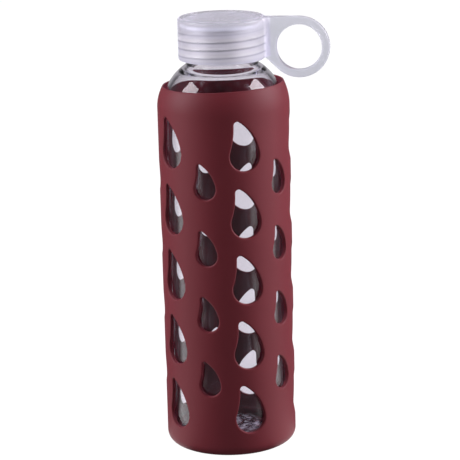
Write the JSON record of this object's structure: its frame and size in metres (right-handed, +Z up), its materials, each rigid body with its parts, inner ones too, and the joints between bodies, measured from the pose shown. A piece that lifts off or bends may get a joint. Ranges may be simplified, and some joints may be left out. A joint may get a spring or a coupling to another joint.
{
  "type": "water bottle",
  "caption": "Glass water bottle in a soft sleeve pierced by drop-shaped windows, with a frosted screw cap that carries a flat finger loop.",
  "frame": {"origin": "centre of the sleeve's flat underside, on the bottle's axis, where the bottle stands", "axes": "+Z up along the bottle's axis; +X towards the carrying loop when the cap is closed"},
  "size_m": [0.0906, 0.069, 0.2289],
  "materials": {
    "clear_glass": "clear, fire polished",
    "burgundy_silicone": "matte moulded silicone",
    "frosted_polypropylene": "translucent, lightly frosted",
    "clear_silicone": "translucent moulded silicone"
  },
  "bodies": {
    "sleeve": {"silicone_sleeve": "burgundy_silicone"},
    "bottle": {"glass_bottle": "clear_glass"},
    "seal": {"cap_seal_ring": "clear_silicone"},
    "cap": {"screw_cap": "frosted_polypropylene"}
  },
  "joints": [
    {"name": "glass_lift", "type": "slide", "parent": "sleeve", "child": "bottle", "axis": [0, 0, 1], "range_m": [0, 0.2]},
    {"name": "cap_rise", "type": "slide", "parent": "bottle", "child": "seal", "axis": [0, 0, 1], "range_m": [0, 0.0201]},
    {"name": "cap_turn", "type": "hinge", "parent": "seal", "child": "cap", "pos_m": [0, 0, 0.218], "axis": [0, 0, 1], "range_deg": [0, 1800]}
  ],
  "couplings": [
    {"joint": "cap_rise", "follows": "cap_turn", "m_per_rad": 0.00063662}
  ]
}
